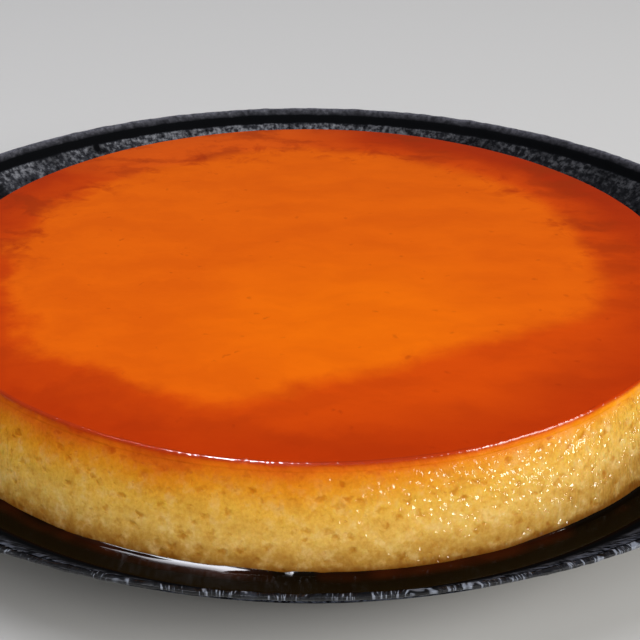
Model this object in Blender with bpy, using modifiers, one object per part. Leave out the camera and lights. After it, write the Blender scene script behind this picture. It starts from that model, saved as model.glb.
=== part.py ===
"""A baked caramel flan, turned out of its tin into the round black stoneware dish that it is served in.

Four pieces, all turned about the Z axis: the dish, the custard, the caramel-stained layer on top of the
custard, and the ring of caramel sauce that has run down round its foot. Metres, +Z up, the dish's foot
ring standing on Z = 0.
"""

import math

import bpy

# The dish, in metres.
DISH_RADIUS = 0.150         # to the rim's outer edge
DISH_HEIGHT = 0.0288        # table to the top of the rim
RIM_EDGE = 0.0012           # thickness of the rim's round outer edge
CREST_WIDTH = 0.0018        # level top of the rim
LIP_RADIUS = 0.1455         # inner edge of the sloping lip, below the crest
LIP_HEIGHT = 0.0265
STEP_RADIUS = 0.1443        # foot of the small step under the lip, where the flared wall begins
STEP_HEIGHT = 0.0247
WALL_FOOT_RADIUS = 0.1222   # where the flared wall would meet the floor, before its fillet
WALL_FILLET = 0.008
FLOOR_THICKNESS = 0.0045
UNDERSIDE_RADIUS = 0.1200   # where the flared underside meets the level one
UNDERSIDE_FILLET = 0.014
FOOT_HEIGHT = 0.002         # foot ring, below the dish's underside
FOOT_OUTER = 0.098
FOOT_INNER = 0.089
FOOT_DRAFT = 0.001          # how far each side of the foot ring leans

# The flan, in metres.
FLAN_TOP_RADIUS = 0.110
FLAN_FOOT_RADIUS = 0.119
FLAN_HEIGHT = 0.0277        # dish floor to the top of the caramel layer
FLAN_SWELL = 0.0007         # how far the soft side swells out of straight, halfway up
TOP_EDGE = 0.0012           # rounding of the flan's top edge
FOOT_EDGE = 0.0008          # and of the custard's foot
CARAMEL_DEPTH = 0.0020      # of the caramel-stained layer, measured down from the top
SAUCE_DEPTH = 0.0026        # dish floor to the level of the sauce
MENISCUS = 0.0009           # how far the sauce climbs the flan's side, and half that up the dish's wall

GAP = 0.0003                # between two pieces that touch
TURN_STEPS = 120            # facets round each turned piece
ARC_STEP = math.radians(30)         # longest step along a rounded corner

FLOOR_TOP = FOOT_HEIGHT + FLOOR_THICKNESS
FLAN_TOP = FLOOR_TOP + FLAN_HEIGHT
CUSTARD_TOP = FLAN_TOP - CARAMEL_DEPTH - GAP
SAUCE_LEVEL = FLOOR_TOP + SAUCE_DEPTH
WALL_SLOPE = math.atan2(STEP_HEIGHT - FLOOR_TOP, STEP_RADIUS - WALL_FOOT_RADIUS)


def arc(centre, radius, start, end):
    """Points (radius, height) along an arc between two angles, in radians from level."""
    count = max(1, math.ceil(abs(end - start) / ARC_STEP))
    angles = [start + (end - start) * i / count for i in range(count + 1)]
    return [(centre[0] + radius * math.cos(a), centre[1] + radius * math.sin(a)) for a in angles]


def rounded(corners):
    """An outline through corners of (radius, height, rounding), with each rounding cut as an arc."""
    outline = []
    for i, (r, z, rounding) in enumerate(corners):
        if rounding == 0:
            outline.append((r, z))
            continue
        before, after = corners[i - 1], corners[i + 1]
        back = math.atan2(before[1] - z, before[0] - r)
        ahead = math.atan2(after[1] - z, after[0] - r)
        opening = (ahead - back + math.pi) % math.tau - math.pi
        to_centre = rounding / math.sin(abs(opening) / 2)
        middle = back + opening / 2
        centre = (r + to_centre * math.cos(middle), z + to_centre * math.sin(middle))
        quarter = math.copysign(math.pi / 2, opening)
        start = back - quarter
        sweep = (ahead - back + 2 * quarter + math.pi) % math.tau - math.pi
        outline += arc(centre, rounding, start, start + sweep)
    return outline


def flan_side(z):
    """Radius of the flan's side at a height: a straight taper with a slight swell."""
    t = (z - FLOOR_TOP) / FLAN_HEIGHT
    return FLAN_FOOT_RADIUS + (FLAN_TOP_RADIUS - FLAN_FOOT_RADIUS) * t + FLAN_SWELL * 4 * t * (1 - t)


def srgb(hex_colour):
    """An sRGB hex colour as linear red, green, blue and alpha."""
    values = [int(hex_colour[i:i + 2], 16) / 255 for i in (1, 3, 5)]
    return [v / 12.92 if v <= 0.04045 else ((v + 0.055) / 1.055) ** 2.4 for v in values] + [1.0]


def finish(name, hex_colour, roughness):
    """A plain Principled material; nothing here is metal."""
    material = bpy.data.materials.new(name)
    material.use_nodes = True
    shader = material.node_tree.nodes["Principled BSDF"]
    shader.inputs["Base Color"].default_value = srgb(hex_colour)
    shader.inputs["Roughness"].default_value = roughness
    shader.inputs["Metallic"].default_value = 0.0
    material.diffuse_color = srgb(hex_colour)
    return material


def turned(name, outline, material, ring=False):
    """A solid turned about Z from an outline that runs top to bottom down its outside.

    A solid piece's outline starts and ends on the axis, and a ring's closes on itself.
    """
    count = len(outline)
    edges = [(i, (i + 1) % count) for i in range(count if ring else count - 1)]
    mesh = bpy.data.meshes.new(name)
    mesh.from_pydata([(r, 0.0, z) for r, z in outline], edges, [])
    mesh.materials.append(material)
    piece = bpy.data.objects.new(name, mesh)
    collection.objects.link(piece)
    screw = piece.modifiers.new("turn", "SCREW")
    screw.axis = "Z"
    screw.steps = screw.render_steps = TURN_STEPS
    screw.use_merge_vertices = True
    screw.merge_threshold = 0.00001
    screw.use_smooth_shade = True
    return piece


def make_dish():
    """Stoneware dish: level floor, flared wall, a small step under a sloping lip, and a foot ring."""
    corners = [
        (0.0, FLOOR_TOP, 0),
        (WALL_FOOT_RADIUS, FLOOR_TOP, WALL_FILLET),
        (STEP_RADIUS, STEP_HEIGHT, 0),
        (LIP_RADIUS, LIP_HEIGHT, 0),
        (DISH_RADIUS - CREST_WIDTH, DISH_HEIGHT, 0),
        (DISH_RADIUS, DISH_HEIGHT, RIM_EDGE * 0.49),
        (DISH_RADIUS, DISH_HEIGHT - RIM_EDGE, RIM_EDGE * 0.3),
        (UNDERSIDE_RADIUS, FOOT_HEIGHT, UNDERSIDE_FILLET),
        (FOOT_OUTER + FOOT_DRAFT, FOOT_HEIGHT, 0),
        (FOOT_OUTER, 0.0, 0),
        (FOOT_INNER, 0.0, 0),
        (FOOT_INNER - FOOT_DRAFT, FOOT_HEIGHT, 0),
        (0.0, FOOT_HEIGHT, 0),
    ]
    return turned("dish", rounded(corners), finish("black_stoneware", "#17181B", 0.55))


def make_custard():
    """Baked custard, wider at its foot, standing on the dish's floor with its soft side a little swollen."""
    foot = FLOOR_TOP + GAP
    rows = 6
    heights = [CUSTARD_TOP + (foot - CUSTARD_TOP) * i / rows for i in range(rows)]
    corners = [(0.0, CUSTARD_TOP, 0)]
    corners += [(flan_side(z), z, 0) for z in heights]
    corners += [(flan_side(foot), foot, FOOT_EDGE), (0.0, foot, 0)]
    return turned("custard", rounded(corners), finish("baked_custard", "#DDB04C", 0.35))


def make_caramel_top():
    """The caramel-stained layer that was at the bottom of the tin, and shows as a band round the edge."""
    low = FLAN_TOP - CARAMEL_DEPTH
    corners = [
        (0.0, FLAN_TOP, 0),
        (FLAN_TOP_RADIUS, FLAN_TOP, TOP_EDGE),
        (flan_side(low), low, 0),
        (0.0, low, 0),
    ]
    return turned("caramel_top", rounded(corners), finish("caramel_stained_custard", "#C64F06", 0.2))


def make_caramel_sauce():
    """Thin dark caramel lying round the flan's foot, drawn up a little where it meets flan and dish."""
    bottom = FLOOR_TOP + GAP
    inner_top = SAUCE_LEVEL + MENISCUS
    outer_top = SAUCE_LEVEL + MENISCUS / 2
    inner_radius = flan_side(inner_top) + GAP
    wall_radius = WALL_FOOT_RADIUS + (outer_top - FLOOR_TOP) / math.tan(WALL_SLOPE)
    outer_radius = wall_radius - GAP / math.sin(WALL_SLOPE)
    fillet_centre = (WALL_FOOT_RADIUS - WALL_FILLET * math.tan(WALL_SLOPE / 2), FLOOR_TOP + WALL_FILLET)
    outline = arc((inner_radius + MENISCUS, inner_top), MENISCUS, math.pi, 1.5 * math.pi)
    outline += [(outer_radius - MENISCUS, SAUCE_LEVEL), (outer_radius, outer_top)]
    outline += arc(fillet_centre, WALL_FILLET - GAP, WALL_SLOPE - math.pi / 2, -math.pi / 2)
    outline += [(flan_side(bottom) + GAP, bottom)]
    return turned("caramel_sauce", outline, finish("caramel_sauce", "#1E0E05", 0.08), ring=True)


for leftover in list(bpy.data.objects):
    bpy.data.objects.remove(leftover, do_unlink=True)

collection = bpy.data.collections.new("caramel_flan")
bpy.context.scene.collection.children.link(collection)

make_dish()
make_custard()
make_caramel_top()
make_caramel_sauce()
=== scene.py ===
import math
import random
import bmesh
import bpy
import numpy as np
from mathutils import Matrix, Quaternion, Vector, kdtree, noise


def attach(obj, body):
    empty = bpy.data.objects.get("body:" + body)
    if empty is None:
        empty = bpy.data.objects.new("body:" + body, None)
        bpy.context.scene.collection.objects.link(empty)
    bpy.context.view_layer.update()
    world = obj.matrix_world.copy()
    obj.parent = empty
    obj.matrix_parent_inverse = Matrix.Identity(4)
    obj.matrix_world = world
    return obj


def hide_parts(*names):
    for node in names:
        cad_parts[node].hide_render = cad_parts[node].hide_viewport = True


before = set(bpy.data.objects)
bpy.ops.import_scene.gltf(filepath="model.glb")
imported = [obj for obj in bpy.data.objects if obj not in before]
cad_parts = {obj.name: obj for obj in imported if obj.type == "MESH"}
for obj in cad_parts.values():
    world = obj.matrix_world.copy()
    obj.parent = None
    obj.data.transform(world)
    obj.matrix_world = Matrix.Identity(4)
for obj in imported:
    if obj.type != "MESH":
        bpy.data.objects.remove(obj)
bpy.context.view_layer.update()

# ---------------------------------------------------------------------------
# The dish: a round, low serving dish of black stoneware, thrown on a wheel
# with flared walls and a foot ring. Its lip and the top of its wall were
# trimmed by hand, so they are rough, with short strokes across the lip.
# ---------------------------------------------------------------------------
DISH_RADIUS = 0.150
DISH_HEIGHT = 0.0288
RIM_EDGE = 0.0012
CREST_WIDTH = 0.0018
LIP_RADIUS, LIP_HEIGHT = 0.1455, 0.0265
STEP_RADIUS, STEP_HEIGHT = 0.1443, 0.0247
WALL_FOOT_RADIUS, FLOOR_TOP = 0.1222, 0.0065
UNDERSIDE_RADIUS, FOOT_HEIGHT = 0.1200, 0.002
FOOT_OUTER, FOOT_INNER = 0.098, 0.089
DISH_STEPS = 720
WEDGES = 24                    # a turned mesh is spun as one wedge, which is copied round
ROW_SPACING = 0.0012           # rows of the mesh where the wall shows
HIDDEN_SPACING = 0.012         # and where the flan or the table hides it
SHARP_ANGLE = 50               # corners sharper than this many degrees aren't smoothed over

STROKE_WIDTH = 0.0011          # a stroke of the trimming tool
NICK_GLINT_WIDTH = 0.0007            # a painted glint across the near lip
GRAIN_SIZE = 0.0011            # the grain of the glaze
MOTTLE_SIZE = 0.0019           # the blunter marks round the back
PATCH_SIZE = 0.011             # patches with more or less painted sheen
LEAN_SIZE = 0.009              # how far along the rim the strokes keep their lean
LIP_LUMPS = [(0.00022, 0.0042, 1), (0.00012, 0.0017, 2)]    # depth, size and seed

STONEWARE_BLACK = "#0A0B0D"
STONEWARE_SHEEN_GREY = "#3A3C42"     # painted sheen, grey where the wall would catch the overhead light
STONEWARE_GLINT_PALE = "#7C7E84"     # painted glints on the tool's strokes
STONEWARE_GLINT_BLUE = "#767E90"     # the same painted glints on the near side, blue-grey
# the colour of the painted glints (nicks) on the near lip
NICK_GLINT_PALE = "#8A909C"
# the painted sheen on the far lip
LIP_SHEEN_GREY = "#6A6A74"
DRIED_CARAMEL = "#120A05"


def linear(code):
    """An sRGB hex colour as a linear RGBA value."""
    parts = [int(code[i:i + 2], 16) / 255 for i in (1, 3, 5)]
    return [c / 12.92 if c <= 0.04045 else ((c + 0.055) / 1.055) ** 2.4 for c in parts] + [1.0]


def add(material, kind, sockets=(), **settings):
    """Adds a shader node: its settings, then the values and the links of its sockets."""
    node = material.node_tree.nodes.new("ShaderNode" + kind)
    for name, value in settings.items():
        setattr(node, name, value)
    for name, value in dict(sockets).items():
        if isinstance(value, bpy.types.NodeSocket):
            material.node_tree.links.new(value, node.inputs[name])
        else:
            node.inputs[name].default_value = value
    return node


def new_material(name):
    """A material with its output node alone."""
    material = bpy.data.materials.new(name)
    material.use_nodes = True
    material.node_tree.nodes.clear()
    return material


def turned(corners, steps, spacing):
    """A profile of (radius, height, rounding) corners, rounded, cut into rows and spun about Z."""
    bm = bmesh.new()
    points = [bm.verts.new((r, 0, z)) for r, z, rounding in corners]
    for a, b in zip(points, points[1:]):
        bm.edges.new((a, b))
    for point, (r, z, rounding) in zip(points, corners):
        if rounding:
            bmesh.ops.bevel(bm, geom=[point], offset=rounding, offset_type="OFFSET", segments=6,
                            profile=0.5, material=-1, affect="VERTICES")
    for edge in list(bm.edges):
        middle = (edge.verts[0].co + edge.verts[1].co) / 2
        cuts = int(edge.calc_length() / spacing(middle.x, middle.z))
        if cuts:
            bmesh.ops.subdivide_edges(bm, edges=[edge], cuts=cuts)
    wedge = math.tau / WEDGES
    bmesh.ops.spin(bm, geom=bm.verts[:] + bm.edges[:], cent=(0, 0, 0), axis=(0, 0, 1), dvec=(0, 0, 0),
                   angle=wedge, steps=steps // WEDGES)
    bmesh.ops.spin(bm, geom=bm.verts[:] + bm.edges[:] + bm.faces[:], cent=(0, 0, 0), axis=(0, 0, 1),
                   dvec=(0, 0, 0), angle=math.tau - wedge, steps=WEDGES - 1, use_duplicate=True)
    bmesh.ops.remove_doubles(bm, verts=bm.verts[:], dist=2e-6)
    bmesh.ops.recalc_face_normals(bm, faces=bm.faces[:])
    return bm


def as_piece(bm, name, node, material):
    """Makes the mesh an object that rides on the part and stands for its solid."""
    mesh = bpy.data.meshes.new(name)
    bm.to_mesh(mesh)
    bm.free()
    mesh.shade_smooth()
    mesh.set_sharp_from_angle(angle=math.radians(SHARP_ANGLE))
    mesh.materials.append(material)
    piece = bpy.data.objects.new(name, mesh)
    bpy.context.scene.collection.objects.link(piece)
    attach(piece, "root")
    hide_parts(node)
    return piece


def points_of(mesh):
    """The mesh's vertices as an array."""
    points = np.empty(len(mesh.vertices) * 3)
    mesh.vertices.foreach_get("co", points)
    return points.reshape(-1, 3)


def set_points(mesh, points):
    """Puts moved vertices back into the mesh."""
    mesh.vertices.foreach_set("co", points.ravel())
    mesh.update()


def lumps(points, size, seed):
    """Smooth noise of about -1 to 1 at each point, with lumps of the given size."""
    shift = Vector((seed * 7.31, seed * 3.17, seed * 5.77))
    return np.array([noise.noise(Vector(p) / size + shift) for p in points])


def ease(x, low, high):
    """0 below low, 1 above high and a smooth step between."""
    t = np.clip((x - low) / (high - low), 0, 1)
    return t * t * (3 - 2 * t)


# Black stoneware under a thin satin glaze: near black, with a grey painted sheen and grey and blue-grey
# painted glints on the tool's strokes, and brown where caramel has dried on the wall.
stoneware = new_material("black_stoneware")
place = add(stoneware, "TexCoord").outputs["Object"]
split = add(stoneware, "SeparateXYZ", {0: place})
flat = add(stoneware, "CombineXYZ", {0: split.outputs[0], 1: split.outputs[1]}).outputs[0]
radius = add(stoneware, "VectorMath", {0: flat}, operation="LENGTH").outputs["Value"]
patches = add(stoneware, "TexNoise", {"Vector": place, "Scale": 1 / PATCH_SIZE, "Detail": 2}).outputs["Fac"]
# distance round the rim, and distance across it drawn out, so that noise becomes radial strokes,
# which lean to one side or the other by up to 25 degrees in turn
outward = add(stoneware, "VectorMath", {0: flat}, operation="NORMALIZE").outputs[0]
around = add(stoneware, "VectorMath", {0: outward, "Scale": DISH_RADIUS}, operation="SCALE").outputs[0]
sideways = add(stoneware, "VectorMath", {0: outward, 1: (0, 0, 1)}, operation="CROSS_PRODUCT").outputs[0]
turn = add(stoneware, "TexNoise", {"Vector": around, "Scale": 1 / LEAN_SIZE, "Detail": 1}).outputs["Fac"]
turn = add(stoneware, "MapRange", {"Value": turn, "From Min": 0.3, "From Max": 0.7, "To Min": -0.5,
                                   "To Max": 0.5}).outputs[0]
reach = add(stoneware, "Math", {0: radius, 1: 0.142}, operation="SUBTRACT").outputs[0]
turn = add(stoneware, "Math", {0: turn, 1: reach}, operation="MULTIPLY").outputs[0]
sideways = add(stoneware, "VectorMath", {0: sideways, "Scale": turn}, operation="SCALE").outputs[0]
along = add(stoneware, "Math", {0: radius, 1: 0.25}, operation="MULTIPLY").outputs[0]
along = add(stoneware, "CombineXYZ", {2: along}).outputs[0]
strokes_place = add(stoneware, "VectorMath", {0: around, 1: sideways}, operation="ADD").outputs[0]
strokes_place = add(stoneware, "VectorMath", {0: strokes_place, 1: along}, operation="ADD").outputs[0]
strokes = add(stoneware, "TexNoise", {"Vector": strokes_place, "Scale": 1 / STROKE_WIDTH, "Detail": 3,
                                      "Roughness": 0.6, "Distortion": 0.4}).outputs["Fac"]
grain = add(stoneware, "TexNoise", {"Vector": place, "Scale": 1 / GRAIN_SIZE, "Detail": 4,
                                    "Roughness": 0.65}).outputs["Fac"]
mottle = add(stoneware, "TexNoise", {"Vector": place, "Scale": 1 / MOTTLE_SIZE, "Detail": 3,
                                     "Roughness": 0.6}).outputs["Fac"]
# the strokes cover the upper wall and, more weakly, the lip; the steep step between them has none
on_wall = add(stoneware, "MapRange", {"Value": radius, "From Min": 0.1300, "From Max": 0.1380},
              interpolation_type="SMOOTHSTEP").outputs[0]
below_step = add(stoneware, "MapRange", {"Value": radius, "From Min": 0.1443, "From Max": 0.1438}).outputs[0]
on_wall = add(stoneware, "Math", {0: on_wall, 1: below_step}, operation="MULTIPLY").outputs[0]
on_lip = add(stoneware, "MapRange", {"Value": radius, "From Min": 0.1462, "From Max": 0.1478, "To Max": 0.6}
             ).outputs[0]
trimmed = add(stoneware, "Math", {0: on_wall, 1: on_lip}, operation="MAXIMUM").outputs[0]
above = add(stoneware, "MapRange", {"Value": split.outputs[2], "From Min": 0.0135, "From Max": 0.0165},
            interpolation_type="SMOOTHSTEP").outputs[0]
trimmed = add(stoneware, "Math", {0: trimmed, 1: above}, operation="MULTIPLY").outputs[0]
# the painted sheen and glints come in patches
sheen_patches = add(stoneware, "MapRange", {"Value": patches, "From Min": 0.26, "From Max": 0.50}).outputs[0]
sheen_patches = add(stoneware, "Math", {0: sheen_patches, 1: trimmed}, operation="MULTIPLY").outputs[0]
# painted shade: the painted sheen is weakest at the back right, which lies out of the overhead light
back_right_shade = add(stoneware, "VectorMath", {0: outward, 1: (0.75, 0.66, 0)}, operation="DOT_PRODUCT")
back_right_shade = add(stoneware, "MapRange", {"Value": back_right_shade.outputs["Value"], "From Min": 0.60, "From Max": 0.92,
                                   "To Min": 1.0, "To Max": 0.3}).outputs[0]
sheen_patches = add(stoneware, "Math", {0: sheen_patches, 1: back_right_shade}, operation="MULTIPLY").outputs[0]
# round the back the strokes are blunter, no more than a mottle
back = add(stoneware, "VectorMath", {0: outward, 1: (0, 1, 0)}, operation="DOT_PRODUCT").outputs["Value"]
back = add(stoneware, "MapRange", {"Value": back, "From Min": -0.3, "From Max": 0.3}).outputs[0]
blunt = add(stoneware, "MapRange", {"Value": back, "To Max": 0.75}).outputs[0]
strokes = add(stoneware, "Mix", {0: blunt, 2: strokes, 3: mottle}, data_type="FLOAT").outputs[0]
# painted sheen: a grey mottle round the back, where the far wall would reflect the overhead light
thin_and_sheen = add(stoneware, "Math", {0: back, 1: 0.10, 2: strokes}, operation="MULTIPLY_ADD").outputs[0]
thin_and_sheen = add(stoneware, "MapRange", {"Value": thin_and_sheen, "From Min": 0.40, "From Max": 0.68}).outputs[0]
thin_and_sheen = add(stoneware, "Math", {0: thin_and_sheen, 1: sheen_patches}, operation="MULTIPLY").outputs[0]
# painted glints: most strokes are pale in a band right under the step, and on the near right side, where they
# would catch the light
glint_strokes = add(stoneware, "MapRange", {"Value": radius, "From Min": 0.1385, "From Max": 0.1420, "To Max": 0.08}
           ).outputs[0]
glint_strokes = add(stoneware, "Math", {0: glint_strokes, 1: below_step, 2: strokes}, operation="MULTIPLY_ADD").outputs[0]
near_right_glints = add(stoneware, "VectorMath", {0: outward, 1: (0.45, -0.89, 0)}, operation="DOT_PRODUCT")
near_right_glints = add(stoneware, "MapRange", {"Value": near_right_glints.outputs["Value"], "From Min": 0.80, "From Max": 0.95,
                                   "To Max": 0.09}).outputs[0]
glint_strokes = add(stoneware, "Math", {0: glint_strokes, 1: near_right_glints}, operation="ADD").outputs[0]
glint_strokes = add(stoneware, "MapRange", {"Value": glint_strokes, "From Min": 0.54, "From Max": 0.74, "To Max": 0.9}
           ).outputs[0]
glint_strokes = add(stoneware, "Math", {0: glint_strokes, 1: sheen_patches}, operation="MULTIPLY").outputs[0]
# the painted glints are fainter inside the near wall than on the lip and round the back
faint = add(stoneware, "Math", {0: back, 1: on_lip}, operation="MAXIMUM").outputs[0]
faint = add(stoneware, "MapRange", {"Value": faint, "To Min": 0.45}).outputs[0]
glint_strokes = add(stoneware, "Math", {0: glint_strokes, 1: faint}, operation="MULTIPLY").outputs[0]
# the near lip keeps its black, with little painted sheen, and short painted glints (nicks) across it
near_lip = add(stoneware, "MapRange", {"Value": radius, "From Min": 0.1462, "From Max": 0.1474}
               ).outputs[0]
near = add(stoneware, "Math", {0: 1.0, 1: back}, operation="SUBTRACT").outputs[0]
near_lip = add(stoneware, "Math", {0: near_lip, 1: near}, operation="MULTIPLY").outputs[0]
elsewhere = add(stoneware, "MapRange", {"Value": near_lip, "To Min": 1.0, "To Max": 0.2}).outputs[0]
thin_and_sheen = add(stoneware, "Math", {0: thin_and_sheen, 1: elsewhere}, operation="MULTIPLY").outputs[0]
glint_strokes = add(stoneware, "Math", {0: glint_strokes, 1: elsewhere}, operation="MULTIPLY").outputs[0]
nick_glints = add(stoneware, "TexNoise", {"Vector": strokes_place, "Scale": 1 / NICK_GLINT_WIDTH, "Detail": 1})
nick_glints = add(stoneware, "Math", {0: near_right_glints, 1: 0.8, 2: nick_glints.outputs["Fac"]}, operation="MULTIPLY_ADD")
nick_glints = add(stoneware, "MapRange", {"Value": nick_glints.outputs[0], "From Min": 0.62, "From Max": 0.72,
                                    "To Max": 0.75}).outputs[0]
nick_glints = add(stoneware, "Math", {0: nick_glints, 1: near_lip}, operation="MULTIPLY").outputs[0]
# painted sheen: the far lip is grey all along, where its rounded edge would catch the light
lip_sheen = add(stoneware, "MapRange", {"Value": mottle, "From Min": 0.35, "From Max": 0.62, "To Min": 0.35}
             ).outputs[0]
crest = add(stoneware, "MapRange", {"Value": radius, "From Min": 0.1478, "From Max": 0.1492, "To Min": 0.55,
                                    "To Max": 1.6}).outputs[0]
lip_sheen = add(stoneware, "Math", {0: lip_sheen, 1: crest}, operation="MULTIPLY").outputs[0]
lip_sheen = add(stoneware, "Math", {0: lip_sheen, 1: on_lip}, operation="MULTIPLY").outputs[0]
lip_sheen = add(stoneware, "Math", {0: lip_sheen, 1: back}, operation="MULTIPLY").outputs[0]
# low on the wall no stroke gets a painted glint
high = add(stoneware, "MapRange", {"Value": radius, "From Min": 0.1320, "From Max": 0.1370}).outputs[0]
glint_strokes = add(stoneware, "Math", {0: glint_strokes, 1: high}, operation="MULTIPLY").outputs[0]
body = add(stoneware, "Mix", {0: thin_and_sheen, 6: linear(STONEWARE_BLACK), 7: linear(STONEWARE_SHEEN_GREY)},
           data_type="RGBA").outputs[2]
pale = add(stoneware, "Mix", {0: back, 6: linear(STONEWARE_GLINT_BLUE), 7: linear(STONEWARE_GLINT_PALE)},
           data_type="RGBA").outputs[2]
body = add(stoneware, "Mix", {0: glint_strokes, 6: body, 7: pale}, data_type="RGBA").outputs[2]
body = add(stoneware, "Mix", {0: nick_glints, 6: body, 7: linear(NICK_GLINT_PALE)}, data_type="RGBA").outputs[2]
body = add(stoneware, "Mix", {0: lip_sheen, 6: body, 7: linear(LIP_SHEEN_GREY)}, data_type="RGBA").outputs[2]
# a tide mark of dried caramel lies above the sauce
tide = add(stoneware, "MapRange", {"Value": split.outputs[2], "From Min": 0.0125, "From Max": 0.0095},
           interpolation_type="SMOOTHSTEP").outputs[0]
inside = add(stoneware, "MapRange", {"Value": radius, "From Min": 0.1330, "From Max": 0.1300}).outputs[0]
tide = add(stoneware, "Math", {0: tide, 1: inside}, operation="MULTIPLY").outputs[0]
body = add(stoneware, "Mix", {0: tide, 6: body, 7: linear(DRIED_CARAMEL)}, data_type="RGBA").outputs[2]
rough = add(stoneware, "MapRange", {"Value": grain, "From Min": 0.3, "From Max": 0.7, "To Min": 0.26,
                                    "To Max": 0.46}).outputs[0]
# the caramel that dried inside has taken the wall's shine; the crest and the outside keep some
shine = add(stoneware, "MapRange", {"Value": radius, "From Min": 0.1484, "From Max": 0.1492,
                                    "To Max": 0.35}).outputs[0]
relief = add(stoneware, "Math", {0: strokes, 1: trimmed}, operation="MULTIPLY").outputs[0]
relief = add(stoneware, "Bump", {"Height": relief, "Distance": 0.0010, "Strength": 0.8}).outputs[0]
relief = add(stoneware, "Bump", {"Height": grain, "Distance": 0.00018, "Strength": 0.6,
                                 "Normal": relief}).outputs[0]
shader = add(stoneware, "BsdfPrincipled", {"Base Color": body, "Roughness": rough, "IOR": 1.5,
                                           "Specular IOR Level": shine, "Normal": relief})
add(stoneware, "OutputMaterial", {"Surface": shader.outputs[0]})


def dish_spacing(r, z):
    """Rows are close together on the wall, inside and out, and far apart under the flan and the foot."""
    return ROW_SPACING if r > 0.119 and z > 0.0045 else HIDDEN_SPACING


bm = turned([(0, FLOOR_TOP, 0),
             (WALL_FOOT_RADIUS, FLOOR_TOP, 0.0029),
             (STEP_RADIUS, STEP_HEIGHT, 0.0004),
             (LIP_RADIUS, LIP_HEIGHT, 0.0005),
             (DISH_RADIUS - CREST_WIDTH, DISH_HEIGHT, 0.0005),
             (DISH_RADIUS, DISH_HEIGHT, 0.00055),
             (DISH_RADIUS, DISH_HEIGHT - RIM_EDGE, 0.00035),
             (UNDERSIDE_RADIUS, FOOT_HEIGHT, 0.0053),
             (FOOT_OUTER + 0.001, FOOT_HEIGHT, 0),
             (FOOT_OUTER, 0, 0.0003),
             (FOOT_INNER, 0, 0.0003),
             (FOOT_INNER - 0.001, FOOT_HEIGHT, 0),
             (0, FOOT_HEIGHT, 0)], DISH_STEPS, dish_spacing)
dish = as_piece(bm, "stoneware_dish", "dish", stoneware)
# the trimmed lip is uneven: its points sink into the clay, by up to about half a millimetre
points = points_of(dish.data)
normals = np.empty(points.size)
dish.data.vertices.foreach_get("normal", normals)
normals = normals.reshape(-1, 3)
radii = np.hypot(points[:, 0], points[:, 1])
sunk = sum(depth * (lumps(points, size, seed) - 1) for depth, size, seed in LIP_LUMPS)
sunk *= ease(radii, 0.139, 0.143) * ease(points[:, 2], 0.018, 0.023)
set_points(dish.data, points + normals * sunk[:, None])

# ---------------------------------------------------------------------------
# The sauce: thin caramel that ran off the flan and pooled in the gap between
# it and the dish. It is nearly black in this depth, lies dead level, and
# climbs a little way up the custard and up the wall of the dish.
# ---------------------------------------------------------------------------
SAUCE_LEVEL = 0.0091
SAUCE_INNER, SAUCE_OUTER = 0.1176, 0.1263
SAUCE_FOOT = 0.1235            # its outer radius on the floor of the dish
GAP = 0.0003                   # the sauce and the custard clear the floor by this
SAUCE_STEPS = 960
SAUCE_SPACING = 0.00022        # rows of the mesh on its surface
UNDER_SPACING = 0.004          # and below
# the sauce follows the side of the flan, so the flan's outline comes before it
FLAN_TOP_RADIUS, FLAN_FOOT_RADIUS = 0.110, 0.119
FLAN_HEIGHT, FLAN_TOP = 0.0277, 0.0342
FLAN_SWELL = 0.0007
SIDE_WAVES = [(0.00022, 0.016, 3), (0.00010, 0.0055, 4)]    # height, size and seed
SIDE_INSET = 0.0002            # keeps the waves inside the flan's outline
WALL_CLIMB, WALL_REACH = 0.0005, 0.0006    # how far the sauce climbs the dish, and from how far off
CLIMB = 0.00030                # how far it climbs the custard, at the least
CLIMB_UNEVEN, CLIMB_SIZE = 0.00008, 0.006    # and how uneven that is
REACH, STEEP_REACH = 1.4, 0.75    # the climb starts this many times its height off the custard
# where it climbs further: direction in degrees from the front, half width, extra climb
SWELLS = [(-16.5, 13.5, 0.00045), (-7, 4.0, 0.0002), (-0.7, 1.9, 0.0004), (5, 5, 0.00015),
          (36, 12, 0.0004), (88, 20, 0.0003), (140, 14, 0.0004), (196, 22, 0.0003), (250, 16, 0.0004)]

THIN_SIZE = 0.020              # patches where the edge of the sauce is thin
SAUCE_DEEP = "#0B0602"
SAUCE_THIN = "#2E1004"         # at the edge, where the light gets through

# Caramel sauce, sugar cooked until dark and let down with water: a clear brown liquid, black in
# depth and red brown where it is thin, with the hard bright reflections of a syrup at its edge.
sauce_look = new_material("caramel_sauce")
place = add(sauce_look, "TexCoord").outputs["Object"]
split = add(sauce_look, "SeparateXYZ", {0: place})
flat = add(sauce_look, "CombineXYZ", {0: split.outputs[0], 1: split.outputs[1]}).outputs[0]
radius = add(sauce_look, "VectorMath", {0: flat}, operation="LENGTH").outputs["Value"]
thin_and_sheen = add(sauce_look, "TexNoise", {"Vector": place, "Scale": 1 / THIN_SIZE, "Detail": 2}).outputs["Fac"]
thin_and_sheen = add(sauce_look, "MapRange", {"Value": thin_and_sheen, "From Min": 0.45, "From Max": 0.65}).outputs[0]
edge = add(sauce_look, "MapRange", {"Value": radius, "From Min": 0.1222, "From Max": 0.1195},
           interpolation_type="SMOOTHSTEP").outputs[0]
thin_and_sheen = add(sauce_look, "Math", {0: thin_and_sheen, 1: edge}, operation="MULTIPLY").outputs[0]
body = add(sauce_look, "Mix", {0: thin_and_sheen, 6: linear(SAUCE_DEEP), 7: linear(SAUCE_THIN)},
           data_type="RGBA").outputs[2]
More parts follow.
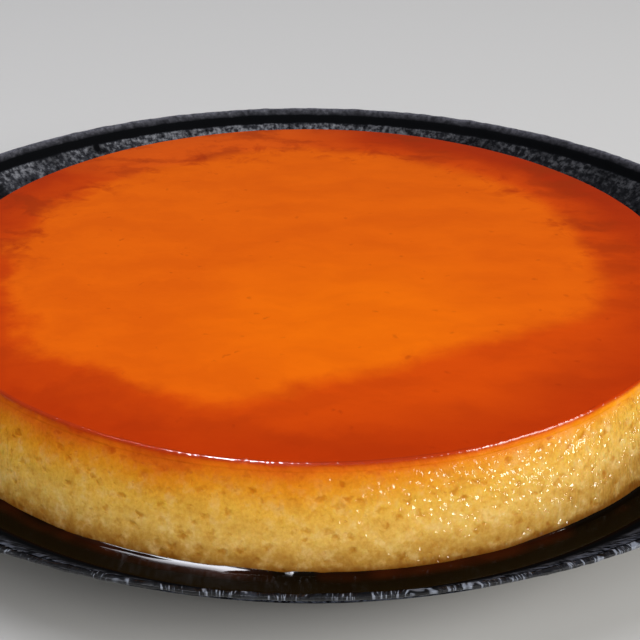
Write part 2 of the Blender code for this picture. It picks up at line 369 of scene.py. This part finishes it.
# its level reflects little, and the edge that creeps up the custard shines
gloss = add(sauce_look, "MapRange", {"Value": split.outputs[2], "From Min": SAUCE_LEVEL + 0.0002,
                                     "From Max": SAUCE_LEVEL + 0.0006, "To Min": 0.04, "To Max": 0.9}
            ).outputs[0]
gloss = add(sauce_look, "Math", {0: gloss, 1: edge}, operation="MULTIPLY").outputs[0]
gloss = add(sauce_look, "Math", {0: gloss, 1: 0.04}, operation="MAXIMUM").outputs[0]
blur = add(sauce_look, "MapRange", {"Value": edge, "To Min": 0.18, "To Max": 0.05}).outputs[0]
shader = add(sauce_look, "BsdfPrincipled", {"Base Color": body, "Roughness": blur, "IOR": 1.48,
                                            "Specular IOR Level": gloss})
add(sauce_look, "OutputMaterial", {"Surface": shader.outputs[0]})


def flan_side(z):
    """Radius of the flan's side at a height: it leans in, and swells a little halfway."""
    t = (z - FLOOR_TOP) / FLAN_HEIGHT
    return FLAN_FOOT_RADIUS + (FLAN_TOP_RADIUS - FLAN_FOOT_RADIUS) * t + FLAN_SWELL * 4 * t * (1 - t)


def side_waves(points):
    """How far the side of the flan stands out or in, the same for the custard and its top layer."""
    return sum(height * lumps(points, size, seed) for height, size, seed in SIDE_WAVES) - SIDE_INSET


bm = turned([(SAUCE_INNER, FLOOR_TOP + GAP, 0),
             (SAUCE_INNER, SAUCE_LEVEL, 0),
             (SAUCE_OUTER, SAUCE_LEVEL, 0),
             (SAUCE_FOOT, FLOOR_TOP + GAP, 0),
             (SAUCE_INNER, FLOOR_TOP + GAP, 0)], SAUCE_STEPS,
            lambda r, z: SAUCE_SPACING if z > SAUCE_LEVEL - 1e-4 else UNDER_SPACING)
sauce = as_piece(bm, "caramel_pool", "caramel_sauce", sauce_look)
points = points_of(sauce.data)
radii = np.hypot(points[:, 0], points[:, 1])
facing = np.degrees(np.arctan2(points[:, 0], -points[:, 1]))
on_top = points[:, 2] > SAUCE_LEVEL - 1e-5
# a swell is at its full height over the inner half, and gone just past its half width
rise = CLIMB + CLIMB_UNEVEN * lumps(points, CLIMB_SIZE, 9)
for centre, half, extra in SWELLS:
    off = np.abs((facing - centre + 180) % 360 - 180) / half
    rise += extra * (1 - ease(off, 0.55, 1.1))
# the level meets the side of the flan wherever its waves have put it
face = np.column_stack([points[:, 0] / radii, points[:, 1] / radii, np.zeros(len(points))])
face = flan_side(SAUCE_LEVEL) + side_waves(face * FLAN_FOOT_RADIUS + (0, 0, SAUCE_LEVEL))
from_custard = np.maximum(radii - face, 0)
# on the right it comes up more steeply
steep = ease(facing, 22, 30) * (1 - ease(facing, 60, 75))
reach = REACH - (REACH - STEEP_REACH) * steep
climb = rise * np.exp(-from_custard / (reach * rise))
climb += WALL_CLIMB * np.exp(-np.maximum(SAUCE_OUTER - radii, 0) / WALL_REACH)
points[:, 2] += np.where(on_top, climb, 0)
set_points(sauce.data, points)

# ---------------------------------------------------------------------------
# The custard: eggs, milk and sugar baked in a round mould and turned out, so
# its side leans in to the top. Steam leaves small pits all over the side, and
# caramel soaks down from the top and stains it from orange to yellow.
# ---------------------------------------------------------------------------
CUSTARD_TOP = 0.0321
TUCK = 0.00012                 # the custard runs this far up inside its top layer
FOOT_EDGE = 0.0004
FOOT_ROUNDED = 0.0006          # the rows lower than this follow the rounded foot
SIDE_FROM = 0.1085             # points further out than this belong to the side
CUSTARD_STEPS = 1440
CUSTARD_SPACING = 0.00048      # rows of the mesh on the side
INSIDE_SPACING = 0.04          # and on the hidden faces
CREASE = 0.00003               # a pair of rows this close keeps a corner crisp
PIT_SPACING = 0.0034           # from one pit to the next
PIT_SIZES = (0.0006, 0.0012)   # radius of the smallest and the largest
PIT_DEPTHS = (0.00006, 0.00020)
PIT_STRAY = 0.45               # how far a pit is off its place in the rows, in spacings
PITS_MISSING = 0.3             # the share of the places without a pit
PIT_WIDE = 1.3                 # a pit is this much wider than high

DRIFT_SIZE, DRIFT = 0.016, 0.0009      # how the stain wanders up and down
BLOTCH_SIZE, WANDER = 0.0034, 0.0007
PORE_SIZE, FINE_PORE_SIZE = 0.0036, 0.0017
PORE_DEPTH = 0.00009
UNEVEN_SIZE, UNEVEN = 0.0016, 0.0022    # how the outlines of the pores wander
GEL_GRAIN = 0.0009
WAVE_SIZE, WAVE_DEPTH = 0.0014, 0.00086    # the wet film
CLUSTER_SIZE = 0.008

# the side from the sauce to the top: where each stain is at its fullest, and its colour; the lowest colours
# are darker partly from brown stain and partly as painted shade low on the side by the sauce
STAIN = [(0.00, "#AE7F38"), (0.12, "#C99B47"), (0.32, "#EBC263"), (0.56, "#F0BE4C"),
         (0.72, "#EEA426"), (0.83, "#E88B11"), (0.91, "#DA6A0C"), (1.00, "#B63E06")]
CUSTARD_PALE = "#F6DCA0"       # where no caramel has reached
CUSTARD_DIM = "#E8CFA0"        # tints that darken a colour
PORE_DIM = "#E6CE9A"
GRAIN_DIM = "#F0E0C0"
SOAKED_BROWN = "#925D1A"       # the foot, which stands in the sauce


def side_stain(material, place):
    """The colour of the flan's side: caramel stain under the top, yellow, brown in the sauce."""
    split = add(material, "SeparateXYZ", {0: place})
    drift = add(material, "TexNoise", {"Vector": place, "Scale": 1 / DRIFT_SIZE, "Detail": 3,
                                       "Roughness": 0.55}).outputs["Fac"]
    drift = add(material, "MapRange", {"Value": drift, "From Min": 0.3, "From Max": 0.7, "To Min": -DRIFT,
                                       "To Max": DRIFT}).outputs[0]
    blotch = add(material, "TexNoise", {"Vector": place, "Scale": 1 / BLOTCH_SIZE, "Detail": 3,
                                        "Roughness": 0.6}).outputs["Fac"]
    wander = add(material, "MapRange", {"Value": blotch, "From Min": 0.3, "From Max": 0.7,
                                        "To Min": -WANDER, "To Max": WANDER}).outputs[0]
    # the caramel soaked in less deeply on the right
    right = add(material, "Math", {0: split.outputs[0], 1: 0.0}, operation="MAXIMUM").outputs[0]
    right = add(material, "Math", {0: right, 1: 2.0}, operation="POWER").outputs[0]
    lean = add(material, "Math", {0: split.outputs[0], 1: -0.014, 2: split.outputs[2]},
               operation="MULTIPLY_ADD").outputs[0]
    lean = add(material, "Math", {0: right, 1: -0.65, 2: lean}, operation="MULTIPLY_ADD").outputs[0]
    # there the dark edge is thin, and the yellow reaches lower: painted light, which lightens the foot on the
    # right where the dish's rim shades it from the lamp
    edge = add(material, "MapRange", {"Value": split.outputs[2], "From Min": 0.0308, "From Max": 0.0335,
                                      "To Max": 0.030}).outputs[0]
    low = add(material, "MapRange", {"Value": split.outputs[2], "From Min": 0.0190, "From Max": 0.0110,
                                     "To Max": 0.078}).outputs[0]
    edge = add(material, "Math", {0: edge, 1: low}, operation="ADD").outputs[0]
    across = add(material, "Math", {0: split.outputs[0], 1: -0.015}, operation="MAXIMUM").outputs[0]
    lean = add(material, "Math", {0: edge, 1: across, 2: lean}, operation="MULTIPLY_ADD").outputs[0]
    level = add(material, "Math", {0: lean, 1: drift}, operation="ADD").outputs[0]
    level = add(material, "Math", {0: level, 1: wander}, operation="ADD").outputs[0]
    spot = add(material, "MapRange", {"Value": level, "From Min": SAUCE_LEVEL, "From Max": FLAN_TOP}
               ).outputs[0]
    stain = add(material, "ValToRGB", {0: spot})
    while len(stain.color_ramp.elements) < len(STAIN):
        stain.color_ramp.elements.new(0.5)
    for element, (where, colour) in zip(stain.color_ramp.elements, STAIN):
        element.position = where
        element.color = linear(colour)
    # pale and dim blotches, the pale ones only below the darkest stain
    pale = add(material, "MapRange", {"Value": blotch, "From Min": 0.50, "From Max": 0.72, "To Max": 0.45}
               ).outputs[0]
    fresh = add(material, "MapRange", {"Value": spot, "From Min": 0.90, "From Max": 0.60}).outputs[0]
    pale = add(material, "Math", {0: pale, 1: fresh}, operation="MULTIPLY").outputs[0]
    body = add(material, "Mix", {0: pale, 6: stain.outputs[0], 7: linear(CUSTARD_PALE)},
               data_type="RGBA").outputs[2]
    dim = add(material, "MapRange", {"Value": blotch, "From Min": 0.48, "From Max": 0.30, "To Max": 0.5}
              ).outputs[0]
    body = add(material, "Mix", {0: dim, 6: body, 7: linear(CUSTARD_DIM)}, data_type="RGBA",
               blend_type="MULTIPLY").outputs[2]
    # the foot has drunk the sauce, a little higher on the right
    soaked = add(material, "Math", {0: wander, 1: 0.8, 2: split.outputs[2]}, operation="MULTIPLY_ADD"
                 ).outputs[0]
    soaked = add(material, "Math", {0: right, 1: -0.2, 2: soaked}, operation="MULTIPLY_ADD").outputs[0]
    soaked = add(material, "MapRange", {"Value": soaked, "From Min": 0.0114, "From Max": 0.0091},
                 interpolation_type="SMOOTHSTEP").outputs[0]
    return add(material, "Mix", {0: soaked, 6: body, 7: linear(SOAKED_BROWN)}, data_type="RGBA").outputs[2]


def pore_cells(material, place, size, strengths, outline):
    """Round spots with soft outlines, one in each cell of this size, of all strengths."""
    cells = add(material, "TexVoronoi", {"Vector": place, "Scale": 1 / size})
    strength = add(material, "MapRange", {"Value": cells.outputs["Color"], "From Min": strengths[0],
                                          "From Max": strengths[1]}).outputs[0]
    spots = add(material, "MapRange", {"Value": cells.outputs["Distance"], "From Min": outline[0],
                                       "From Max": outline[1]}, interpolation_type="SMOOTHSTEP").outputs[0]
    return add(material, "Math", {0: spots, 1: strength}, operation="MULTIPLY").outputs[0]


# Baked custard: a soft, slightly clear gel, wet on the outside, full of pores that steam left. They
# show as soft darker spots, and glint where the light comes from the side.
custard_look = new_material("baked_custard")
place = add(custard_look, "TexCoord").outputs["Object"]
body = side_stain(custard_look, place)
# the outlines of the pores are uneven
uneven = add(custard_look, "TexNoise", {"Vector": place, "Scale": 1 / UNEVEN_SIZE, "Detail": 1})
uneven = add(custard_look, "VectorMath", {0: uneven.outputs["Color"], 1: (0.5, 0.5, 0.5)},
             operation="SUBTRACT").outputs[0]
uneven = add(custard_look, "VectorMath", {0: uneven, "Scale": UNEVEN}, operation="SCALE").outputs[0]
uneven = add(custard_look, "VectorMath", {0: place, 1: uneven}, operation="ADD").outputs[0]
squashed = add(custard_look, "VectorMath", {0: uneven, 1: (1.0, 1.0, 1.3)}, operation="MULTIPLY").outputs[0]
pores = pore_cells(custard_look, squashed, PORE_SIZE, (0.25, 0.65), (0.46, 0.08))
fine = pore_cells(custard_look, squashed, FINE_PORE_SIZE, (0.35, 0.80), (0.45, 0.05))
# painted shade, in part: the pores are darkened both for their own colour and for the shade in their hollows
shade = add(custard_look, "Math", {0: fine, 1: 0.45, 2: pores}, operation="MULTIPLY_ADD", use_clamp=True
            ).outputs[0]
body = add(custard_look, "Mix", {0: shade, 6: body, 7: linear(PORE_DIM)}, data_type="RGBA",
           blend_type="MULTIPLY").outputs[2]
# and the gel itself is faintly grained
grain = add(custard_look, "TexNoise", {"Vector": place, "Scale": 1 / GEL_GRAIN, "Detail": 2, "Roughness": 0.6}
            ).outputs["Fac"]
grain = add(custard_look, "MapRange", {"Value": grain, "From Min": 0.40, "From Max": 0.62, "To Max": 0.55}
            ).outputs[0]
body = add(custard_look, "Mix", {0: grain, 6: body, 7: linear(GRAIN_DIM)}, data_type="RGBA",
           blend_type="MULTIPLY").outputs[2]
relief = add(custard_look, "Math", {0: fine, 1: 0.4, 2: pores}, operation="MULTIPLY_ADD").outputs[0]
# near the top it is firm, dull and smooth, as the caramel drew the water out of it
split = add(custard_look, "SeparateXYZ", {0: place})
film = add(custard_look, "MapRange", {"Value": split.outputs[2], "From Min": 0.0300, "From Max": 0.0318,
                                      "To Min": 1.0, "To Max": 0.0}).outputs[0]
relief = add(custard_look, "Math", {0: relief, 1: film}, operation="MULTIPLY").outputs[0]
relief = add(custard_look, "Bump", {"Height": relief, "Distance": PORE_DEPTH, "Strength": 1.0},
             invert=True).outputs[0]
# the wet film over it lies in small waves that are longer downwards, as it runs down
drawn = add(custard_look, "VectorMath", {0: place, 1: (1.0, 1.0, 0.6)}, operation="MULTIPLY").outputs[0]
waves = add(custard_look, "TexNoise", {"Vector": drawn, "Scale": 1 / WAVE_SIZE, "Detail": 1.2,
                                       "Roughness": 0.5}).outputs["Fac"]
cluster = add(custard_look, "TexNoise", {"Vector": place, "Scale": 1 / CLUSTER_SIZE, "Detail": 1})
cluster = add(custard_look, "MapRange", {"Value": cluster.outputs["Fac"], "From Min": 0.35, "From Max": 0.65,
                                         "To Min": 0.85, "To Max": 1.75}).outputs[0]
waves = add(custard_look, "Math", {0: waves, 1: cluster}, operation="MULTIPLY").outputs[0]
# the film lies thickest on the right
right = add(custard_look, "MapRange", {"Value": split.outputs[0], "From Min": -0.025, "From Max": 0.030,
                                       "To Min": 0.65, "To Max": 1.0}).outputs[0]
waves = add(custard_look, "Math", {0: waves, 1: right}, operation="MULTIPLY").outputs[0]
soft = add(custard_look, "MapRange", {"Value": split.outputs[2], "From Min": 0.0270, "From Max": 0.0312,
                                      "To Min": 0.6, "To Max": 0.0}).outputs[0]
wet = add(custard_look, "Bump", {"Height": waves, "Distance": WAVE_DEPTH, "Strength": 1.0, "Normal": relief}
          ).outputs[0]
shader = add(custard_look, "BsdfPrincipled", {
    "Base Color": body, "Roughness": 0.40, "IOR": 1.36, "Subsurface Weight": soft,
    "Subsurface Radius": (1.0, 0.55, 0.25), "Subsurface Scale": 0.002, "Coat Weight": film,
    "Coat Roughness": 0.05, "Coat IOR": 1.65, "Normal": relief, "Coat Normal": wet})
add(custard_look, "OutputMaterial", {"Surface": shader.outputs[0]})

foot, top = FLOOR_TOP + GAP, CUSTARD_TOP + TUCK
bm = turned([(0, foot, 0), (flan_side(foot) - FOOT_EDGE, foot, FOOT_EDGE),
             (flan_side(top - CREASE), top - CREASE, 0), (flan_side(top), top, 0),
             (flan_side(top) - CREASE, top, 0), (0, top, 0)], CUSTARD_STEPS,
            lambda r, z: CUSTARD_SPACING if r > 0.109 and foot < z < top else INSIDE_SPACING)
custard = as_piece(bm, "custard_body", "custard", custard_look)
points = points_of(custard.data)
radii = np.hypot(points[:, 0], points[:, 1])
side = radii > SIDE_FROM
wanted = np.where(points[:, 2] > foot + FOOT_ROUNDED, flan_side(points[:, 2]), radii)
wanted = wanted + np.where(side, side_waves(points), 0)
# the pits stand in loose rows, and the points of the mesh near each one sink in
draw = random.Random(11)
tree = kdtree.KDTree(int(side.sum()))
for index in np.flatnonzero(side):
    tree.insert(points[index], int(index))
tree.balance()
sunk = np.zeros(len(points))
rows = int((top - foot) / PIT_SPACING)
columns = int(math.tau * FLAN_FOOT_RADIUS / PIT_SPACING)
for row in range(rows):
    for column in range(columns):
        z = foot + (row + 0.5 + draw.uniform(-PIT_STRAY, PIT_STRAY)) * PIT_SPACING
        angle = (column + 0.5 * (row % 2) + draw.uniform(-PIT_STRAY, PIT_STRAY)) / columns * math.tau
        size = draw.uniform(*PIT_SIZES)
        pit_depth = draw.uniform(*PIT_DEPTHS) * size / PIT_SIZES[1]
        if z > top - PIT_SIZES[1] or draw.random() < PITS_MISSING:
            continue
        r = flan_side(z)
        centre = Vector((r * math.cos(angle), r * math.sin(angle), z))
        for near, index, _ in tree.find_range(centre, size * 2):
            across = math.hypot(near.x - centre.x, near.y - centre.y) / PIT_WIDE
            far = math.hypot(across, near.z - centre.z) / size
            sunk[index] = max(sunk[index], pit_depth * math.exp(-(far / 0.8) ** 2))
scale = (wanted - sunk) / np.maximum(radii, 1e-9)
scale[~side] = 1
points[:, :2] *= scale[:, None]
set_points(custard.data, points)

# ---------------------------------------------------------------------------
# The caramel top: the layer of custard that baked against the caramel in the
# bottom of the mould and took its colour, smooth and flat from the mould. It
# is orange in the middle and a darker red brown round the edge.
# ---------------------------------------------------------------------------
TOP_EDGE = 0.0007
LAYER_PROUD = 0.000003         # the layer stands this little over the custard, which runs up behind it
LAYER_SPACING, FLAT_SPACING = 0.0004, 0.012    # rows of the mesh on its side and on its flats
WAVES_FROM, WAVES_FULL = 0.090, 0.108    # the waves of the side fade out between these radii
NICK_FACING, NICK_HALF, NICK_DEPTH = -7.7, 0.4, 0.0003    # degrees, degrees and metres

WANDER_SIZE = 0.026            # how the outlines of the colours wander
PATCH_BLUR = 0.006             # the pale part is a disc cut off by a straight edge, blended over this
BURNT_SIZE = 0.009             # blotches
STREAK_SIZE = 0.011
SPECK_SIZE = 0.0075
RIPPLE_SIZE, RIPPLE_DEPTH = 0.0024, 0.00085

TOP_MIDDLE, TOP_GLOW = "#E26203", "#EC6E01"      # the pale part and its brightest spot
RING_INNER, RING_OUTER = "#D24A02", "#B43402"
RING_THICK = "#A22A02"         # where the caramel lay thick
RING_SCANT = "#D8560A"         # and where it lay thin
BLOTCH_RED = "#AE3402"
STREAK_DIM = "#E6D2C8"         # a tint that darkens a colour
DRIFT_BROWN = "#983004"
SPECK_BROWN = "#8A2400"

# Custard stained by caramel, under a thin film of it: smooth as its mould, paler in a broad patch over the
# middle, with blotches and specks where sugar burnt on the mould, darkest round the edge.
top_look = new_material("caramel_stained_custard")
place = add(top_look, "TexCoord").outputs["Object"]
split = add(top_look, "SeparateXYZ", {0: place})
wave = add(top_look, "TexNoise", {"Vector": place, "Scale": 1 / WANDER_SIZE, "Detail": 5,
                                  "Roughness": 0.6}).outputs["Color"]
wave = add(top_look, "VectorMath", {0: wave, 1: (0.5, 0.5, 0.5)}, operation="SUBTRACT").outputs[0]
# the edge of the pale part is ragged on the left
ragged = add(top_look, "MapRange", {"Value": split.outputs[0], "From Min": 0.02, "From Max": -0.08,
                                    "To Min": 0.014, "To Max": 0.034}).outputs[0]
wave = add(top_look, "VectorMath", {0: wave, "Scale": ragged}, operation="SCALE").outputs[0]
bent = add(top_look, "VectorMath", {0: place, 1: wave}, operation="ADD").outputs[0]
flat = add(top_look, "VectorMath", {0: bent, 1: (1, 1, 0)}, operation="MULTIPLY").outputs[0]
radius = add(top_look, "VectorMath", {0: flat}, operation="LENGTH").outputs["Value"]
# the pale part lies inside a disc, and behind a straight edge that runs across the front
in_disc = add(top_look, "VectorMath", {0: flat, 1: (-0.0025, 0, 0)}, operation="DISTANCE")
in_disc = add(top_look, "Math", {0: 0.0875, 1: in_disc.outputs["Value"]}, operation="SUBTRACT").outputs[0]
in_front = add(top_look, "VectorMath", {0: flat, 1: (-0.429, 0.903, 0)}, operation="DOT_PRODUCT")
in_front = add(top_look, "Math", {0: in_front.outputs["Value"], 1: 0.0685}, operation="ADD").outputs[0]
inner = add(top_look, "Math", {0: in_disc, 1: in_front, 2: PATCH_BLUR}, operation="SMOOTH_MIN").outputs[0]
bright = add(top_look, "MapRange", {"Value": inner, "From Min": -0.0045, "From Max": 0.0055},
             interpolation_type="SMOOTHSTEP").outputs[0]
out = add(top_look, "MapRange", {"Value": radius, "From Min": 0.080, "From Max": 0.109},
          interpolation_type="SMOOTHSTEP").outputs[0]
ring = add(top_look, "Mix", {0: out, 6: linear(RING_INNER), 7: linear(RING_OUTER)},
           data_type="RGBA").outputs[2]
# caramel lay thickest at the back right and thinnest at the back left
toward = add(top_look, "VectorMath", {0: flat}, operation="NORMALIZE").outputs[0]
thick = add(top_look, "VectorMath", {0: toward, 1: (0.74, 0.67, 0)}, operation="DOT_PRODUCT")
thick = add(top_look, "MapRange", {"Value": thick.outputs["Value"], "From Min": 0.72, "From Max": 0.96,
                                   "To Max": 0.75}).outputs[0]
rim = add(top_look, "MapRange", {"Value": radius, "From Min": 0.094, "From Max": 0.103}).outputs[0]
thick = add(top_look, "Math", {0: thick, 1: rim}, operation="MULTIPLY").outputs[0]
ring = add(top_look, "Mix", {0: thick, 6: ring, 7: linear(RING_THICK)}, data_type="RGBA").outputs[2]
scant = add(top_look, "VectorMath", {0: toward, 1: (-0.36, 0.93, 0)}, operation="DOT_PRODUCT")
scant = add(top_look, "MapRange", {"Value": scant.outputs["Value"], "From Min": 0.84, "From Max": 0.97}
            ).outputs[0]
ring = add(top_look, "Mix", {0: scant, 6: ring, 7: linear(RING_SCANT)}, data_type="RGBA").outputs[2]
glow = add(top_look, "VectorMath", {0: flat, 1: (0.012, -0.042, 0)}, operation="DISTANCE").outputs["Value"]
glow = add(top_look, "MapRange", {"Value": glow, "From Min": 0.060, "From Max": 0.005},
           interpolation_type="SMOOTHSTEP").outputs[0]
middle = add(top_look, "Mix", {0: glow, 6: linear(TOP_MIDDLE), 7: linear(TOP_GLOW)},
             data_type="RGBA").outputs[2]
body = add(top_look, "Mix", {0: bright, 6: ring, 7: middle}, data_type="RGBA").outputs[2]
# blotches along the edge of the pale part, soft mottles all over, and specks
near_edge = add(top_look, "Math", {0: inner}, operation="ABSOLUTE").outputs[0]
near_edge = add(top_look, "MapRange", {"Value": near_edge, "From Min": 0.013, "From Max": 0.002}).outputs[0]
blotch = add(top_look, "TexNoise", {"Vector": place, "Scale": 1 / BURNT_SIZE, "Detail": 4, "Roughness": 0.6,
                                    "Distortion": 0.6}).outputs["Fac"]
blotches = add(top_look, "MapRange", {"Value": blotch, "From Min": 0.52, "From Max": 0.68, "To Max": 0.75}
               ).outputs[0]
blotches = add(top_look, "Math", {0: blotches, 1: near_edge}, operation="MULTIPLY").outputs[0]
behind = add(top_look, "MapRange", {"Value": split.outputs[1], "From Min": -0.05, "From Max": 0.02,
                                    "To Min": 0.2, "To Max": 1.0}).outputs[0]
blotches = add(top_look, "Math", {0: blotches, 1: behind}, operation="MULTIPLY").outputs[0]
body = add(top_look, "Mix", {0: blotches, 6: body, 7: linear(BLOTCH_RED)}, data_type="RGBA").outputs[2]
streaks = add(top_look, "VectorMath", {0: bent, 1: (0.45, 1.0, 1.0)}, operation="MULTIPLY").outputs[0]
streaks = add(top_look, "TexNoise", {"Vector": streaks, "Scale": 1 / STREAK_SIZE, "Detail": 3}
              ).outputs["Fac"]
mottle = add(top_look, "MapRange", {"Value": streaks, "From Min": 0.35, "From Max": 0.65, "To Max": 0.4}
             ).outputs[0]
body = add(top_look, "Mix", {0: mottle, 6: body, 7: linear(STREAK_DIM)}, data_type="RGBA",
           blend_type="MULTIPLY").outputs[2]
# brown drifts in the dark ring
drift = add(top_look, "MapRange", {"Value": streaks, "From Min": 0.50, "From Max": 0.66, "To Max": 0.55}
            ).outputs[0]
in_ring = add(top_look, "MapRange", {"Value": bright, "To Min": 1.0, "To Max": 0.0}).outputs[0]
drift = add(top_look, "Math", {0: drift, 1: in_ring}, operation="MULTIPLY").outputs[0]
drift = add(top_look, "Math", {0: drift, 1: behind}, operation="MULTIPLY").outputs[0]
body = add(top_look, "Mix", {0: drift, 6: body, 7: linear(DRIFT_BROWN)}, data_type="RGBA").outputs[2]
specks = add(top_look, "TexVoronoi", {"Vector": bent, "Scale": 1 / SPECK_SIZE}).outputs["Distance"]
specks = add(top_look, "MapRange", {"Value": specks, "From Min": 0.13, "From Max": 0.04, "To Max": 0.5}
             ).outputs[0]
specks = add(top_look, "Math", {0: specks, 1: blotch}, operation="MULTIPLY").outputs[0]
body = add(top_look, "Mix", {0: specks, 6: body, 7: linear(SPECK_BROWN)}, data_type="RGBA").outputs[2]
# at the side of the layer the stain is the one that runs on down the custard
above = add(top_look, "MapRange", {"Value": split.outputs[2], "From Min": 0.0329, "From Max": 0.0340},
            interpolation_type="SMOOTHSTEP").outputs[0]
body = add(top_look, "Mix", {0: above, 6: side_stain(top_look, place), 7: body}, data_type="RGBA").outputs[2]
# the side is rippled and dull, the flat top almost as smooth as glass
ripple = add(top_look, "TexNoise", {"Vector": place, "Scale": 1 / RIPPLE_SIZE, "Detail": 2}).outputs["Fac"]
calm = add(top_look, "MapRange", {"Value": split.outputs[2], "From Min": 0.03405, "From Max": 0.03418,
                                  "To Min": 0.38, "To Max": 0.04}).outputs[0]
ripple = add(top_look, "Math", {0: ripple, 1: calm}, operation="MULTIPLY").outputs[0]
relief = add(top_look, "Bump", {"Height": ripple, "Distance": RIPPLE_DEPTH, "Strength": 1.0}).outputs[0]
rough = add(top_look, "MapRange", {"Value": above, "To Min": 0.40, "To Max": 0.12}).outputs[0]
# a bead of syrup runs along the edge, with less of it on the right
shine = add(top_look, "MapRange", {"Value": split.outputs[2], "From Min": 0.0334, "From Max": 0.0338,
                                   "To Min": 0.08, "To Max": 1.0}).outputs[0]
scarce = add(top_look, "MapRange", {"Value": split.outputs[0], "From Min": 0.02, "From Max": 0.05,
                                    "To Min": 1.0, "To Max": 0.28}).outputs[0]
shine = add(top_look, "Math", {0: shine, 1: scarce}, operation="MULTIPLY").outputs[0]
on_flat = add(top_look, "MapRange", {"Value": split.outputs[2], "From Min": 0.03414, "From Max": 0.03419}
              ).outputs[0]
shine = add(top_look, "Mix", {0: on_flat, 2: shine, 3: 0.275}, data_type="FLOAT").outputs[0]
shader = add(top_look, "BsdfPrincipled", {
    "Base Color": body, "Roughness": rough, "IOR": 1.9, "Specular IOR Level": shine, "Normal": relief})
add(top_look, "OutputMaterial", {"Surface": shader.outputs[0]})

under = flan_side(CUSTARD_TOP) + LAYER_PROUD
bm = turned([(0, CUSTARD_TOP, 0), (under - CREASE, CUSTARD_TOP, 0), (under, CUSTARD_TOP, 0),
             (under, CUSTARD_TOP + CREASE, 0), (FLAN_TOP_RADIUS + LAYER_PROUD, FLAN_TOP, TOP_EDGE),
             (0, FLAN_TOP, 0)], CUSTARD_STEPS,
            lambda r, z: LAYER_SPACING if CUSTARD_TOP + 1e-4 < z < FLAN_TOP - 1e-4 else FLAT_SPACING)
layer = as_piece(bm, "caramel_layer", "caramel_top", top_look)
# its side waves with the custard's, and its flat is left alone
points = points_of(layer.data)
radii = np.hypot(points[:, 0], points[:, 1])
share = ease(radii, WAVES_FROM, WAVES_FULL)
scale = 1 + side_waves(points) * share / np.maximum(radii, 1e-3)
points[:, :2] *= scale[:, None]
# a nick in the front edge, left by the mould
facing = np.degrees(np.arctan2(points[:, 0], -points[:, 1]))
nick = np.exp(-((facing - NICK_FACING) / NICK_HALF) ** 2) * ease(points[:, 2], 0.0330, 0.0336)
nick *= 1 - ease(points[:, 2], 0.03405, 0.03418)
points[:, :2] *= 1 - NICK_DEPTH * nick[:, None] / FLAN_TOP_RADIUS
set_points(layer.data, points)

# ---------------------------------------------------------------------------
# The studio: a plain pale table, an oblong soft light overhead on the left, a
# second from the right that glints on the wet side, and a fill from the front.
# ---------------------------------------------------------------------------
TABLE_PALE = "#C6C6C5"
TABLE_SIZE = 4.0
ROOM_LIGHT = 0.03

table_look = new_material("pale_table")
shader = add(table_look, "BsdfPrincipled", {"Base Color": linear(TABLE_PALE), "Roughness": 0.7})
add(table_look, "OutputMaterial", {"Surface": shader.outputs[0]})
bm = bmesh.new()
bmesh.ops.create_grid(bm, x_segments=1, y_segments=1, size=TABLE_SIZE)
mesh = bpy.data.meshes.new("table")
bm.to_mesh(mesh)
bm.free()
mesh.materials.append(table_look)
table = bpy.data.objects.new("table", mesh)
bpy.context.scene.collection.objects.link(table)


def soft_light(name, place, aim, width, depth, power, colour):
    """An oblong soft box at a place, turned to its aim."""
    data = bpy.data.lights.new(name, "AREA")
    data.shape = "RECTANGLE"
    data.size, data.size_y = width, depth
    data.energy = power
    data.color = linear(colour)[:3]
    lamp = bpy.data.objects.new(name, data)
    lamp.location = place
    lamp.rotation_euler = (Vector(aim) - Vector(place)).to_track_quat("-Z", "Y").to_euler()
    bpy.context.scene.collection.objects.link(lamp)
    return lamp


soft_light("overhead", (-0.55, -0.05, 2.2), (0, 0, 0), 2.0, 0.42, 33, "#F6F7FF")
soft_light("right", (1.8, -0.85, 1.05), (0, 0, 0.02), 1.0, 1.1, 41, "#FFFCF6")
front = soft_light("front_fill", (-0.1, -1.9, 1.6), (0, 0, 0.02), 1.6, 1.6, 28, "#FFFDFA")
front.visible_glossy = False   # it lights the side without a reflection of its own
world = bpy.data.worlds.new("dim_room")
world.use_nodes = True
world.node_tree.nodes["Background"].inputs["Color"].default_value = linear("#FFFFFF")
world.node_tree.nodes["Background"].inputs["Strength"].default_value = ROOM_LIGHT
bpy.context.scene.world = world
bpy.context.scene.view_settings.view_transform = "Standard"

# it is seen from the near side, close by, from 28 degrees above the table
camera_data = bpy.data.cameras.new("camera")
camera_data.lens = 75
camera_data.sensor_width = 36
camera_data.clip_start = 0.01
camera = bpy.data.objects.new("camera", camera_data)
camera.location = (0, -0.3610, 0.2052)
aim = Vector((0.00287, 0.0059, 0.0091)) - camera.location
turn = aim.to_track_quat("-Z", "Y") @ Quaternion((0, 0, 1), math.radians(0.52))
camera.rotation_euler = turn.to_euler()
bpy.context.scene.collection.objects.link(camera)
bpy.context.scene.camera = camera
